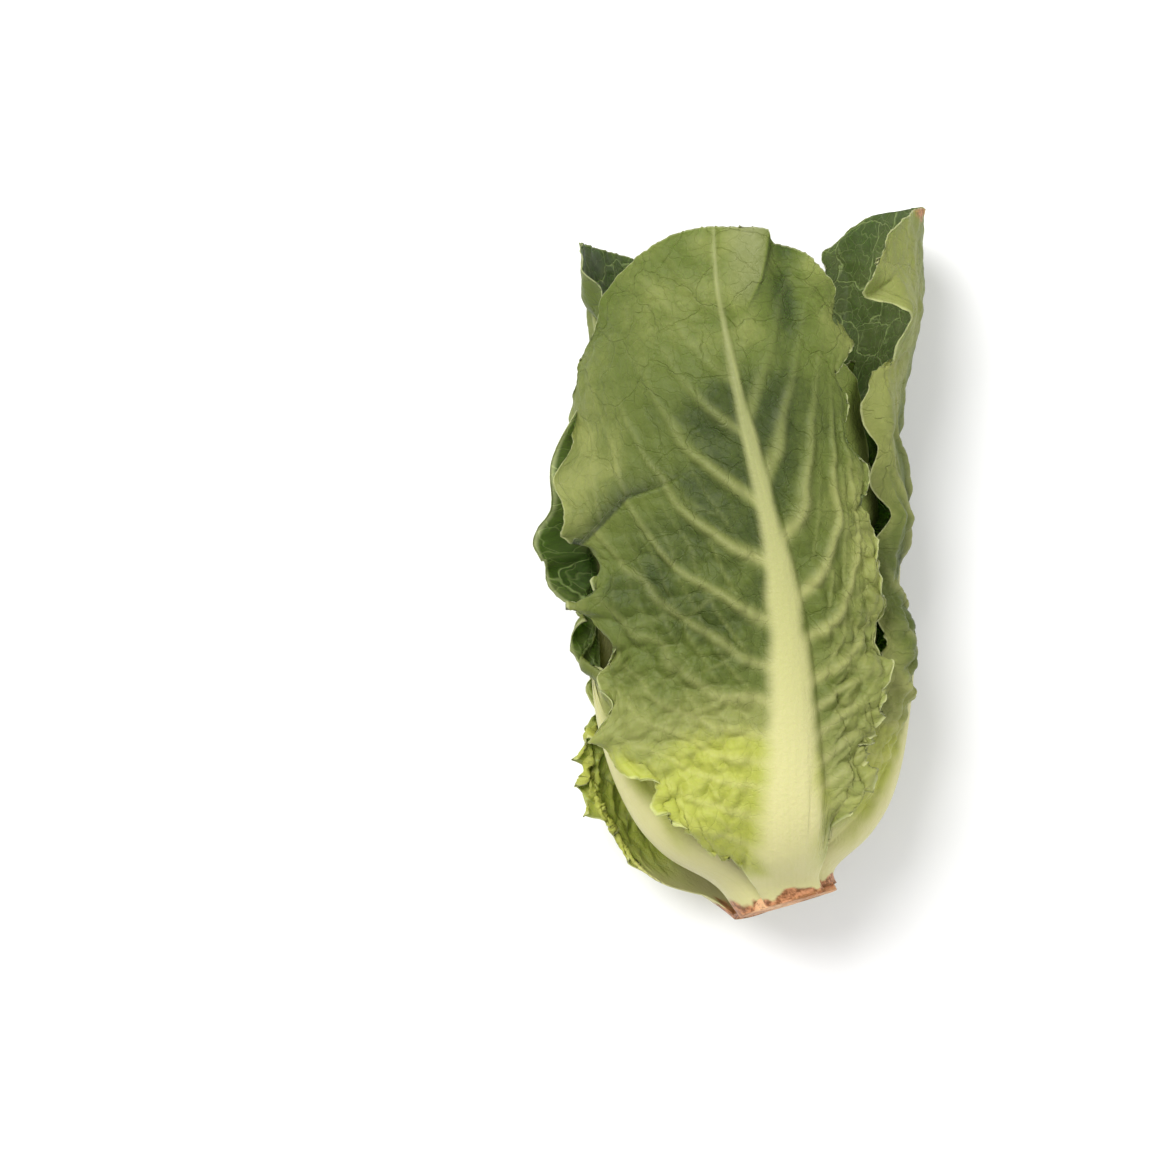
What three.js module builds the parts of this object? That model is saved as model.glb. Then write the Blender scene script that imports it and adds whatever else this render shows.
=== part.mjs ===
// A romaine heart as picked and trimmed: a short cone of stem, cut across, with the leaves that grow on it
// in a spiral, each one wrapped round the next. It lies on its back, pressed flat where it touches the table.
// Millimetres. +Y runs from the cut stem to the leaf tips, +Z is up, and the origin is under the middle.
import * as THREE from "three";

const { clamp, degToRad, lerp, smoothstep } = THREE.MathUtils;

// Driving dimensions.
const LEAF_COUNT = 16;
const DIVERGENCE = degToRad(137.5); // turn from one leaf to the next round the stem
const FIRST_ANGLE = degToRad(245); // where the outermost leaf grows; 90 degrees faces up
const BLADE = 0.7; // thickness of a leaf blade
const FOOT_GAP = 0.8; // between the stem and the foot of a leaf
const TIP_DROP = 0.2; // share of its length by which a leaf's shoulders are lower than its tip

const STEM = { radius: 13.5, tipRadius: 3, height: 52, sides: 30 };
const HEAD = {
  radius: 47, // of the outermost leaf, at mid height
  shoulder: 12.5, // how soon the leaves swing out from the stem
  squash: 0.8, // height of the head for its width
  topSwell: 0.05, // how much wider it is near the tips
  cutY: -99.33, // the cut end of the stem
  axisX: 5.47, // the head's axis
  stemX: 17.37, // the stem's axis at the cut, off to one side
  bend: 16, // how soon the one comes over to the other
  axisZ: 37.2,
  lean: Math.tan(degToRad(16)), // slope of the cut across the head
  nod: Math.tan(degToRad(9)), // slope of the cut upwards
  slopeFade: 30, // how far up the head those slopes die out
  squashFade: 18, // how far up the round stem passes into the squashed head
};
const FIRST_FOOT = 4; // height on the stem of the outermost leaf's foot
const LAST_FOOT = 44;
const LAYERS = [1, 0.14]; // how far out the first and the last leaf lie, as a share of the head's radius
const HALF_WIDTHS = [62, 20]; // of the first and the last leaf's blade
const TIP_HEIGHTS = [186, 128];
const RIB = { half: 12, height: 4.4, least: 0.5 }; // the midrib at a large leaf's foot, and near its tip
const RUFFLE = { wavelength: 33, hidden: 0.5, shown: 4.5 };
const SCALLOP = { wavelength: 19, depth: 0.06 }; // how the outline of a blade goes in and out
const LAYER_DROP = 1.05; // least height of one leaf over the next where they are pressed on the table

// The leaves whose shape the eye can follow, from the outermost in. turn is the angle off the spiral and tip the
// height above the cut. Of the two values in a pair, the first is for the side before the rib, going round:
// halves are the widths of the blade, skirt what is added to them near the foot and crest near the tip, flare how
// far the margins stand off the head, and drop how much lower the shoulders are. open is how far the leaf stands
// off the head at its middle and at its tip, and frill the share of a full ruffle. lean is the angle that the rib
// moves round, over the share of its length in leanOver.
const SHAPED = [
  { name: "leaf_01_back", tip: 172, halves: [42, 64], skirt: [24, 0], open: [0, 3], frill: 0.35 },
  {
    name: "leaf_02_front", turn: -30, tip: 197, halves: [46, 57], flare: [0, 10], open: [0, 0], lean: 26,
    drop: [0.15, 0.2],
  },
  {
    name: "leaf_03_right", turn: 40, tip: 203, halves: [66, 25], skirt: [0, 18], crest: [0, 17], open: [4, 6],
    lean: -8, leanOver: [0, 0.4], drop: [0.06, 0.09],
  },
  {
    name: "leaf_04_left", turn: -42, tip: 194, halves: [16, 62], skirt: [23, 0], crest: [7, 0], flare: [18, 0],
    open: [3, 6], lean: 38, leanOver: [0, 0.4], drop: [0.08, 0.06],
  },
  { name: "leaf_05_middle", turn: 22, tip: 160 },
];

// Width of a blade as a share of its widest, from the foot to the tip.
const WIDTH_SHARE = [0.2, 0.4, 0.64, 0.78, 0.87, 0.94, 0.99, 1, 0.98, 0.93, 0.85];

function widthShare(v) {
  const place = clamp(v, 0, 1) * (WIDTH_SHARE.length - 1);
  const i = Math.min(Math.floor(place), WIDTH_SHARE.length - 2);
  return lerp(WIDTH_SHARE[i], WIDTH_SHARE[i + 1], place - i);
}

function leafAt(index) {
  const depth = index / (LEAF_COUNT - 1); // 0 outermost, 1 innermost
  const half = lerp(...HALF_WIDTHS, depth ** 0.9);
  const { turn, lean, ...own } = SHAPED[index] ?? {};
  const foot = lerp(FIRST_FOOT, LAST_FOOT, depth);
  const leaf = {
    name: `leaf_${String(index + 1).padStart(2, "0")}_${depth < 0.65 ? "middle" : "inner"}`,
    halves: [half, half],
    skirt: [0, 0],
    crest: [0, 0],
    flare: [0, 0],
    drop: [TIP_DROP, TIP_DROP],
    leanOver: [0.3, 1],
    open: [0, 4],
    frill: 1,
    tip: lerp(...TIP_HEIGHTS, depth),
    ...own,
    index,
    depth,
    foot,
    layer: lerp(...LAYERS, depth),
    angle: FIRST_ANGLE - DIVERGENCE * index + degToRad(turn ?? 0),
    lean: degToRad(lean ?? 0),
    ribHalf: RIB.half * lerp(1, 0.5, depth),
    ribHeight: RIB.height * lerp(1, 0.45, depth),
  };
  leaf.length = leaf.tip - leaf.foot;
  return leaf;
}

const leaves = Array.from({ length: LEAF_COUNT }, (_, index) => leafAt(index));

function stemRadius(s) {
  return lerp(STEM.radius, STEM.tipRadius, clamp((s - 4) / (STEM.height - 4), 0, 1));
}

// Distance from the head's axis of a layer of leaf, at a height above the cut.
function layerRadius(leaf, s) {
  const climb = 1 - Math.exp(-Math.max(s - leaf.foot, 0) / HEAD.shoulder);
  const swell = 1 + HEAD.topSwell * smoothstep(s, 60, 190);
  return (stemRadius(leaf.foot) + FOOT_GAP + (HEAD.radius - STEM.radius) * leaf.layer * climb) * swell;
}

// From the head's own round space, of angle, radius and height above the cut, to the part's frame: the head is
// squashed, its axis bends over to the stem, and its lower sections tilt as the cut does.
function toPart(angle, radius, s) {
  const nearCut = Math.exp(-s / HEAD.slopeFade);
  const across = radius * Math.cos(angle);
  const up = radius * Math.sin(angle) * lerp(HEAD.squash, 1, Math.exp(-s / HEAD.squashFade));
  return new THREE.Vector3(
    HEAD.axisX + (HEAD.stemX - HEAD.axisX) * Math.exp(-s / HEAD.bend) + across,
    HEAD.cutY + s + nearCut * (HEAD.lean * across + HEAD.nod * up),
    HEAD.axisZ + up,
  );
}

function turnBetween(from, to) {
  return Math.atan2(Math.sin(to - from), Math.cos(to - from));
}

function ribAngle(leaf, v) {
  return leaf.angle + leaf.lean * smoothstep(v, ...leaf.leanOver);
}

function halfWidth(leaf, side, v) {
  const nearFoot = smoothstep(v, 0, 0.06) * (1 - smoothstep(v, 0.15, 0.4));
  const nearTip = smoothstep(v, 0.7, 0.9);
  return leaf.halves[side] * widthShare(v) + leaf.skirt[side] * nearFoot + leaf.crest[side] * nearTip;
}

// How much lower a blade is cut at a share off of the way from its rib to its margin.
function shoulderDrop(leaf, side, off) {
  return leaf.length * leaf.drop[side] * off ** 3;
}

// 1 where nothing outside a leaf covers this place, falling to 0 under a leaf that lies further out.
function shownShare(leaf, angle, s) {
  return leaves.slice(0, leaf.index).reduce((shown, outer) => {
    const v = clamp((s - outer.foot) / outer.length, 0, 1);
    const turn = turnBetween(ribAngle(outer, v), angle);
    const radius = layerRadius(outer, s);
    const side = turn < 0 ? 0 : 1;
    const half = halfWidth(outer, side, v);
    const pastMargin = Math.abs(turn) * radius - half;
    const across = Math.min((Math.abs(turn) * radius) / half, 1);
    const pastTip = s - outer.tip + shoulderDrop(outer, side, across);
    return shown * smoothstep(Math.max(pastMargin, pastTip), 4, 15);
  }, 1);
}

// A point on the middle of a blade. u runs across from margin to margin, -1 to 1, and v from foot to tip.
function bladePoint(leaf, u, v) {
  const side = u < 0 ? 0 : 1;
  const off = Math.abs(u);
  const s = leaf.foot + leaf.length * v - shoulderDrop(leaf, side, off) * v ** 3;
  const level = layerRadius(leaf, leaf.foot + leaf.length * v);
  const notch = 1 + Math.sin((2 * Math.PI * s) / SCALLOP.wavelength + leaf.index);
  const scallop = 1 - SCALLOP.depth * off ** 6 * notch;
  const angle = ribAngle(leaf, v) + (u * scallop * halfWidth(leaf, side, v)) / level;
  const shown = shownShare(leaf, angle, s);
  const nearMargin = smoothstep(off, 0.45, 1) * smoothstep(s - leaf.foot, 8, 30);
  const wave = Math.sin((2 * Math.PI * s) / RUFFLE.wavelength + leaf.index * 2.4 + side * 1.7);
  const stand =
    nearMargin * (RUFFLE.hidden * wave + RUFFLE.shown * leaf.frill * shown * (0.5 + 0.5 * wave)) +
    leaf.flare[side] * off ** 3 * smoothstep(v, 0.3, 0.6) * (1 - 0.85 * smoothstep(v, 0.62, 0.88)) +
    shown * lerp(leaf.open[0] * smoothstep(v, 0.1, 0.35), leaf.open[1], smoothstep(v, 0.5, 1));
  const point = toPart(angle, layerRadius(leaf, s) + stand, s);
  point.z = Math.max(point.z, BLADE / 2 + LAYER_DROP * leaf.index); // pressed flat by its own weight
  return point;
}

function outwardNormal(leaf, u, v) {
  const step = 1e-3;
  const across = bladePoint(leaf, Math.min(u + step, 1), v).sub(bladePoint(leaf, Math.max(u - step, -1), v));
  const along = bladePoint(leaf, u, Math.min(v + step, 1)).sub(bladePoint(leaf, u, Math.max(v - step, 0)));
  return along.cross(across).normalize();
}

// How far the midrib stands out of the blade, at a distance from its middle.
function ribStand(leaf, fromRib, v) {
  const half = leaf.ribHalf * (1 - v) ** 1.6 + RIB.least;
  const height = leaf.ribHeight * (1 - v) ** 1.3 + RIB.least / 2;
  return height * Math.max(1 - (fromRib / half) ** 2, 0) ** 0.7;
}

// Places across a blade for the columns of its mesh: two each side on the rib, and the rest evenly to the margin.
function columns(leaf, v, perSide) {
  const ribHalf = leaf.ribHalf * (1 - v) ** 1.6 + RIB.least;
  const oneSide = (side) => {
    const edge = Math.min(ribHalf / halfWidth(leaf, side, v), 0.8);
    const rest = Array.from({ length: perSide - 2 }, (_, i) => lerp(1.1 * edge, 1, (i + 1) / (perSide - 2)));
    return [0.6 * edge, 1.1 * edge, ...rest];
  };
  return [...oneSide(0).reverse().map((u) => -u), 0, ...oneSide(1)];
}

// One leaf as a closed solid: an outer and an inner face on the same grid, joined all round by a rim.
function leafGeometry(leaf) {
  const rows = Math.round(lerp(28, 12, leaf.depth ** 0.8));
  const perSide = Math.round(lerp(7, 4, leaf.depth ** 0.8));
  const width = 2 * perSide + 1;
  const outer = [];
  const inner = [];
  for (let i = 0; i <= rows; i++) {
    const v = (i / rows) ** 1.35;
    for (const u of columns(leaf, v, perSide)) {
      const point = bladePoint(leaf, u, v);
      const normal = outwardNormal(leaf, u, v);
      const fromRib = Math.abs(u) * halfWidth(leaf, u < 0 ? 0 : 1, v);
      const face = point.clone().addScaledVector(normal, BLADE / 2 + ribStand(leaf, fromRib, v));
      face.z = Math.max(face.z, 0);
      outer.push(face);
      inner.push(point.addScaledVector(normal, -BLADE / 2));
    }
  }
  const count = outer.length;
  const faces = [];
  for (let i = 0; i < rows; i++) {
    for (let j = 0; j < width - 1; j++) {
      const [a, b, c, d] = [i * width + j, i * width + j + 1, (i + 1) * width + j, (i + 1) * width + j + 1];
      const pair = j < perSide ? [[a, c, b], [c, d, b]] : [[a, c, d], [a, d, b]];
      for (const [p, q, r] of pair) {
        faces.push(p, q, r, p + count, r + count, q + count);
      }
    }
  }
  const foot = Array.from({ length: width }, (_, j) => width - 1 - j);
  const left = Array.from({ length: rows }, (_, i) => (i + 1) * width);
  const tip = Array.from({ length: width - 1 }, (_, j) => rows * width + j + 1);
  const right = Array.from({ length: rows - 1 }, (_, i) => (rows - i) * width - 1);
  const loop = [...foot, ...left, ...tip, ...right];
  loop.forEach((p, i) => {
    const q = loop[(i + 1) % loop.length];
    faces.push(q, p, p + count, q, p + count, q + count);
  });
  const geometry = new THREE.BufferGeometry().setFromPoints([...outer, ...inner]);
  geometry.setIndex(faces);
  geometry.computeVertexNormals();
  return geometry;
}

// The stem: rings from the rough cut end, with its swollen rim, up the cone to the growing tip.
function stemGeometry() {
  const rings = [0, 0.9, 2.6, 4.2, 8, 13, 19, 26, 33, 40, 46, STEM.height];
  const points = [toPart(0, 0, 0.4)];
  for (const s of rings) {
    for (let k = 0; k < STEM.sides; k++) {
      const angle = (2 * Math.PI * k) / STEM.sides;
      const rough = 0.35 * Math.sin(3 * angle + 1) + 0.25 * Math.sin(7 * angle);
      const offset = s === 0 ? rough - 0.3 : s < 2 ? rough + 0.5 : s < 4 ? 0 : -0.5;
      points.push(toPart(angle, stemRadius(s) + offset, s));
    }
  }
  points.push(toPart(0, 0, STEM.height + 0.6));
  const faces = [];
  const ringStart = (i) => 1 + i * STEM.sides;
  const last = points.length - 1;
  for (let k = 0; k < STEM.sides; k++) {
    const next = (k + 1) % STEM.sides;
    faces.push(0, ringStart(0) + k, ringStart(0) + next);
    faces.push(last, ringStart(rings.length - 1) + next, ringStart(rings.length - 1) + k);
    for (let i = 0; i < rings.length - 1; i++) {
      const [a, b] = [ringStart(i) + k, ringStart(i) + next];
      const [c, d] = [ringStart(i + 1) + k, ringStart(i + 1) + next];
      faces.push(a, c, b, b, c, d);
    }
  }
  const geometry = new THREE.BufferGeometry().setFromPoints(points);
  geometry.setIndex(faces);
  geometry.computeVertexNormals();
  return geometry;
}

function leafMaterial(leaf) {
  const green = new THREE.Color(0.3, 0.42, 0.13);
  const yellow = new THREE.Color(0.86, 0.86, 0.5);
  const color = green.lerp(yellow, leaf.depth ** 1.2);
  return new THREE.MeshStandardMaterial({ color, roughness: 0.55, metalness: 0 });
}

const heart = new THREE.Group();
const stem = new THREE.Mesh(
  stemGeometry(),
  new THREE.MeshStandardMaterial({ color: new THREE.Color(0.72, 0.47, 0.33), roughness: 0.8, metalness: 0 }),
);
stem.name = "stem";
heart.add(stem);
for (const leaf of leaves) {
  const mesh = new THREE.Mesh(leafGeometry(leaf), leafMaterial(leaf));
  mesh.name = leaf.name;
  heart.add(mesh);
}

export default heart;
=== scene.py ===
# %% [markdown]
# # A romaine heart on a white table
#
# A romaine heart is what is left of a lettuce once its loose leaves are off: a short stem, cut across, and
# long leaves packed round it in a spiral. The part's plain solids give each leaf its place, and this
# script puts a finer leaf there, with side veins, puckers, a frilled and toothed margin and a broad pale
# rib. Lengths are in millimetres until a mesh is made, and `s` is the height above the stem's cut end.

# %% Tools and frame
import math
from types import SimpleNamespace

import bpy
import numpy as np
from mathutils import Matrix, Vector


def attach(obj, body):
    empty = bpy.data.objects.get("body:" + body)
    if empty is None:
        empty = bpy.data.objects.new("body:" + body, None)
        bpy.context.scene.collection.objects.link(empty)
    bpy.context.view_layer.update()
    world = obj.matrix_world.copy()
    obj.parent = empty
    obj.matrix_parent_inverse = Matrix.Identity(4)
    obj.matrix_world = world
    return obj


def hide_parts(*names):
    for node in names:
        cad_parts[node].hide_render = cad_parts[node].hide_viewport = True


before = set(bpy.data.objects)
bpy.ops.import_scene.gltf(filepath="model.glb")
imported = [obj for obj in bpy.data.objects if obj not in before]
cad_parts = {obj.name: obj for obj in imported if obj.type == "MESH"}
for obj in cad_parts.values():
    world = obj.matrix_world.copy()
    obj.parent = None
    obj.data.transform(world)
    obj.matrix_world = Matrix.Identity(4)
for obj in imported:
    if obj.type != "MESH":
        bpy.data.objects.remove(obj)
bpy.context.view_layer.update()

# %% [markdown]
# ## The head
#
# A heart is a round bundle, a little squashed where it lies, and its axis bends over to the stem. The cut
# runs aslant, which tilts the lowest sections. Drawing each leaf by hand would be slow and would look
# random, so all leaves come from one rule with the part's own measures: each next leaf stands 137.5 degrees
# round from the last, further in, shorter and narrower. Only the outermost five have their own shapes.

# %% The measures of the head, the stem and the leaves
LEAF_COUNT = 16
OUTER_COUNT = 4
DIVERGENCE = math.radians(137.5)
FIRST_ANGLE = math.radians(245)
BLADE = 0.5  # thickness
FOOT_GAP = 0.8
STEM = SimpleNamespace(radius=13.5, tip_radius=3, height=52)
HEAD = SimpleNamespace(
    radius=47, shoulder=12.5, squash=0.8, top_swell=0.05, cut_y=-99.33, axis_x=5.47, stem_x=17.37, bend=16,
    axis_z=37.2, lean=math.tan(math.radians(16)), nod=math.tan(math.radians(9)), slope_fade=30,
    squash_fade=18,
)

# From the outermost leaf to the innermost: the foot's height, the layer's share of the head, and the blade.
FEET = (4, 44)
LAYERS = (1, 0.14)
HALF_WIDTHS = (62, 20)
TIP_HEIGHTS = (186, 128)

# How much higher each next layer lies on the table, and the share of a blade's width from foot to tip.
LAYER_STEP = 1.05
WIDTH_SHARE = [0.2, 0.4, 0.64, 0.78, 0.87, 0.94, 0.99, 1, 0.98, 0.93, 0.85]

# Pairs of values belong to the two sides of a leaf: right then left as the front leaf is seen from above.
SHAPED = [
    dict(name="leaf_01_back", tip=172, halves=(42, 64), skirt=(24, 0), open=(0, 3), frill=0.35, base=16),
    dict(name="leaf_02_front", turn=-30, tip=197, halves=(46, 57), flare=(0, 10), open=(0, 0), lean=26,
         drop=(0.15, 0.175), drop_power=(5, 1.9)),
    dict(name="leaf_03_right", turn=40, tip=203, halves=(66, 25), skirt=(0, 18), crest=(0, 17), open=(4, 6),
         lean=-8, lean_over=(0, 0.4), drop=(0.06, 0.09), base=16),
    dict(name="leaf_04_left", turn=-42, tip=194, halves=(16, 62), skirt=(23, 0), crest=(7, 0), flare=(18, 0),
         open=(3, 6), lean=38, lean_over=(0, 0.4), drop=(0.08, 0.06), base=16),
    dict(name="leaf_05_middle", turn=22, tip=160),
]

# %% [markdown]
# The fine detail has its own list, since it differs from leaf to leaf: how fine the grid is, how steeply
# side veins climb low down and near the tip, how yellow the blade is from foot to tip, and how deep its
# teeth are.

# %% What the fine leaves add to the plain ones
PLAIN_DETAIL = dict(
    grid=(76, 120), vein_rise=(1.2, 1.2), low_rise=(0.12, 0.12), rise_from=(0.1, 0.1), vein_reach=(24, 24),
    rib_back=0, tones=(0.95, 0.62, 0.55), pale_foot=(15, 36), tooth=0.9, low_teeth=(1, 1), fine_frill=0.9,
    low_frill=(0.7, 0.7), calm_top=0.7, calm_lobe=0,
)
OUTER_DETAIL = [
    dict(grid=(150, 300), vein_rise=(1.1, 1.1), vein_reach=(26, 26), tones=(1.0, 0.8, 0.5), pale_foot=(8, 20),
         tooth=1.7, calm_top=0.6),
    dict(grid=(158, 310), vein_rise=(1.9, 1.1), low_rise=(0.5, 0.32), rise_from=(0.3, 0.28),
         vein_reach=(34, 34), tones=(0.98, 0.62, 0.45), pale_foot=(8, 15), tooth=1.0, low_teeth=(0.5, 1),
         fine_frill=1.1, low_frill=(0.15, 0.7), calm_top=0.2, calm_lobe=0.6),
    dict(grid=(158, 310), vein_rise=(1.2, 1.4), vein_reach=(26, 26), rib_back=7, tones=(0.8, 0.42, 0.48),
         pale_foot=(12, 26), fine_frill=1.1, calm_top=0.25),
    dict(grid=(150, 310), vein_reach=(26, 26), tones=(0.9, 0.5, 0.48), fine_frill=1.0, calm_top=0.3),
]
OUTER_LOWEST = 1.2

# Width added to one side of a leaf, as pairs of height and millimetres. The key is the leaf's index and side.
ADDED_WIDTHS = {
    (1, 0): [(35, 0), (65, -6), (100, -6), (115, -9), (150, -9), (167, -7), (180, -3), (197, 0)],
    (1, 1): [(13, 0), (18, 9), (31, 10), (43, 11), (50, 15), (88, 7), (106, 2), (124, 6), (140, 6), (152, 10),
             (165, 10), (180, 8), (197, 4)],
    (2, 1): [(120, 0), (140, 4), (152, 7), (159, 5), (165, -10), (181, -11), (191, 0)],
}


# %% One rule for all leaves
def lerp(a, b, t):
    """From a at t = 0 to b at t = 1."""
    return a + (b - a) * t


def smooth(x, low, high):
    """0 below low, 1 above high, and 3t² - 2t³ between them, t being the share of the way."""
    t = np.clip((x - low) / (high - low), 0, 1)
    return t * t * (3 - 2 * t)


def leaf_at(index):
    """What one leaf of the spiral is like: its place, its widths and how it stands."""
    depth = index / (LEAF_COUNT - 1)
    outer, kind = index < OUTER_COUNT, "middle" if depth < 0.65 else "inner"
    own = dict(SHAPED[index]) if index < len(SHAPED) else {}
    half, foot = lerp(*HALF_WIDTHS, depth ** 0.9), lerp(*FEET, depth)
    turn, lean = own.pop("turn", 0), own.pop("lean", 0)
    values = dict(
        name=f"leaf_{index + 1:02d}_{kind}", slot="outer_leaf" if outer else kind + "_leaf",
        halves=(half, half), skirt=(0, 0), crest=(0, 0), flare=(0, 0), drop=(0.2, 0.2),
        drop_power=(3, 3), lean_over=(0.3, 1),
        open=(0, 4), base=0, frill=1, tip=lerp(*TIP_HEIGHTS, depth), index=index, depth=depth, foot=foot,
        layer=lerp(*LAYERS, depth), angle=FIRST_ANGLE - DIVERGENCE * index + math.radians(turn),
        lean=math.radians(lean), lowest=OUTER_LOWEST if outer else foot,
    )
    leaf = SimpleNamespace(**{**values, **own, **PLAIN_DETAIL, **(OUTER_DETAIL[index] if outer else {})})
    leaf.length = leaf.tip - leaf.foot
    return leaf


LEAVES = [leaf_at(index) for index in range(LEAF_COUNT)]
print("leaves", len(LEAVES), "longest", round(max(leaf.length for leaf in LEAVES)), "mm")

# %% [markdown]
# ## Random bumps and cells
#
# Leaves are uneven, but not like noise on a screen: swells run over centimetres, and puckers are rounded
# cells between veins. So there are two seeded patterns on a plane. Bumps join random heights on a lattice
# by a smooth curve. Cells tell how far a point is from the border between its own scattered centre and the
# next one.

# %% Bumps and cells
LATTICE_SIZE = 256
LATTICE = np.random.default_rng(11).uniform(-1, 1, (LATTICE_SIZE, LATTICE_SIZE))
JITTER = np.random.default_rng(12).uniform(0.12, 0.88, (LATTICE_SIZE, LATTICE_SIZE, 2))


def bumps(x, y, size, seed=0):
    """Heights from -1 to 1 that change over a length size: f = 6t⁵ - 15t⁴ + 10t³ between lattice points."""
    x, y = x / size + 17.3 * seed, y / size + 41.7 * seed
    i, j = np.floor(x).astype(int), np.floor(y).astype(int)
    f, g = x - i, y - j
    f, g = f**3 * (f * (f * 6 - 15) + 10), g**3 * (g * (g * 6 - 15) + 10)
    after_i, after_j = (i + 1) % LATTICE_SIZE, (j + 1) % LATTICE_SIZE
    i, j = i % LATTICE_SIZE, j % LATTICE_SIZE
    near = lerp(LATTICE[i, j], LATTICE[after_i, j], f)
    return lerp(near, lerp(LATTICE[i, after_j], LATTICE[after_i, after_j], f), g)


def rough(x, y, size, seed=0, octaves=3):
    """Bumps summed over halving sizes, each half as high as the one before."""
    return sum(bumps(x, y, size / 2**n, seed + 3 * n) / 2**n for n in range(octaves))


def cells(x, y, size, seed=0):
    """How far inside its cell a point is: distance to the second nearest centre less that to the nearest."""
    x, y = x / size + 7.7 * seed, y / size + 3.1 * seed
    i, j = np.floor(x).astype(int), np.floor(y).astype(int)
    found = []
    for di in (-1, 0, 1):
        for dj in (-1, 0, 1):
            centre = JITTER[(i + di) % LATTICE_SIZE, (j + dj) % LATTICE_SIZE]
            found.append(np.hypot(i + di + centre[..., 0] - x, j + dj + centre[..., 1] - y))
    found = np.sort(np.stack(found), axis=0)
    return found[1] - found[0]


print("bumps 2 mm apart", bumps(np.array([0.0, 2.0, 4.0]), np.zeros(3), 10).round(2))


# %% [markdown]
# ## Where a leaf lies in the head
#
# Each leaf is a layer round the axis: it leaves the stem, turns up and then follows the head. Working in
# angle, radius and height keeps the layers one inside the other, which no free sculpting would. One last
# step carries them to the lying, leaning heart.

# %% From a round head to the lying one
def stem_radius(s):
    """The stem's radius, full at the cut and evenly less up to its growing tip."""
    return lerp(STEM.radius, STEM.tip_radius, np.clip((s - 4) / (STEM.height - 4), 0, 1))


def layer_radius(leaf, s):
    """Distance of a layer from the head's axis: r = (stem + gap + 33.5 layer (1 - exp(-h / 12.5))) swell,
    where h is the height over the foot, eased in as 3 log(1 + exp(h / 3))."""
    height = 3 * np.logaddexp(0, (s - leaf.foot) / 3)
    climb = 1 - np.exp(-height / HEAD.shoulder)
    swell = 1 + HEAD.top_swell * smooth(s, 60, 190)
    return (stem_radius(leaf.foot) + FOOT_GAP + (HEAD.radius - STEM.radius) * leaf.layer * climb) * swell


def to_part(angle, radius, s):
    """From angle, radius and height in the round head to the part's frame, as an array of points. The slant
    of the cut fades as exp(-s / 30), the bend to the stem as exp(-s / 16) and the roundness of the foot as
    exp(-s / 18)."""
    near_cut = np.exp(-s / HEAD.slope_fade)
    across = radius * np.cos(angle)
    up = radius * np.sin(angle) * lerp(HEAD.squash, 1, np.exp(-s / HEAD.squash_fade))
    return np.stack([
        HEAD.axis_x + (HEAD.stem_x - HEAD.axis_x) * np.exp(-s / HEAD.bend) + across,
        HEAD.cut_y + s + near_cut * (HEAD.lean * across + HEAD.nod * up),
        HEAD.axis_z + up,
    ], axis=-1)


def rib_angle(leaf, v):
    return leaf.angle + leaf.lean * smooth(v, *leaf.lean_over)


print("the outermost layer is", round(layer_radius(LEAVES[0], 150.0), 1), "mm from the axis at 150 mm")

# %% How wide a blade is
def pick(pair, side):
    """The value of a pair that belongs to each side of a leaf."""
    return np.where(side == 0, pair[0], pair[1]).astype(float)


def added_width(leaf, side, height):
    """What each side adds to its plain width, in straight lines between the pairs of ADDED_WIDTHS."""
    nothing = [(0, 0), (1, 0)]
    sides = [np.interp(height, *zip(*ADDED_WIDTHS.get((leaf.index, k), nothing))) for k in (0, 1)]
    return pick(sides, side)


def half_width(leaf, side, v):
    """Half of a blade's width: its largest by the share at v, with a skirt near the foot, a crest at the
    tip, its side's added width, and never less than the broad base of its rib."""
    height = leaf.foot + leaf.length * v
    share = np.interp(v, np.linspace(0, 1, len(WIDTH_SHARE)), WIDTH_SHARE)
    near_foot = smooth(v, 0, 0.06) * (1 - smooth(v, 0.15, 0.4))
    half = pick(leaf.halves, side) * share + pick(leaf.skirt, side) * near_foot
    half = half + pick(leaf.crest, side) * smooth(v, 0.7, 0.9) + added_width(leaf, side, height)
    return np.maximum(half, leaf.base * (1 - smooth(height, 28, 60)))


def shoulder_drop(leaf, side, off):
    """How much lower the tip edge is off the rib: length · drop · off^power, off being 1 at the margin."""
    return leaf.length * pick(leaf.drop, side) * off ** pick(leaf.drop_power, side)


def shown_share(leaf, angle, s):
    """1 where nothing further out covers this place, and 0 a few millimetres inside such a leaf's margin."""
    shown = np.ones_like(s)
    for outer in LEAVES[: leaf.index]:
        v = np.clip((s - outer.foot) / outer.length, 0, 1)
        turn = angle - rib_angle(outer, v)
        turn = np.arctan2(np.sin(turn), np.cos(turn))
        round_head = np.abs(turn) * layer_radius(outer, s)
        side = np.where(turn < 0, 0, 1)
        half = half_width(outer, side, v)
        past_tip = s - outer.tip + shoulder_drop(outer, side, np.minimum(round_head / half, 1))
        shown = shown * smooth(np.maximum(round_head - half, past_tip), 4, 15)
    return shown


print("half widths of the front leaf", half_width(LEAVES[1], np.array([0, 1]), 0.5).round(1), "mm")

# %% [markdown]
# ## The margin
#
# A lettuce margin grows faster than the blade behind it, so it ruffles, and its teeth are sharp low down
# and blunt near the tip. A displacement texture would only push it in and out. Here the margin also slides
# along itself, a quarter wave behind, so that a ruffle can lean over as a real one does. Where a leaf is
# covered by another, it lies nearly flat.

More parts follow.
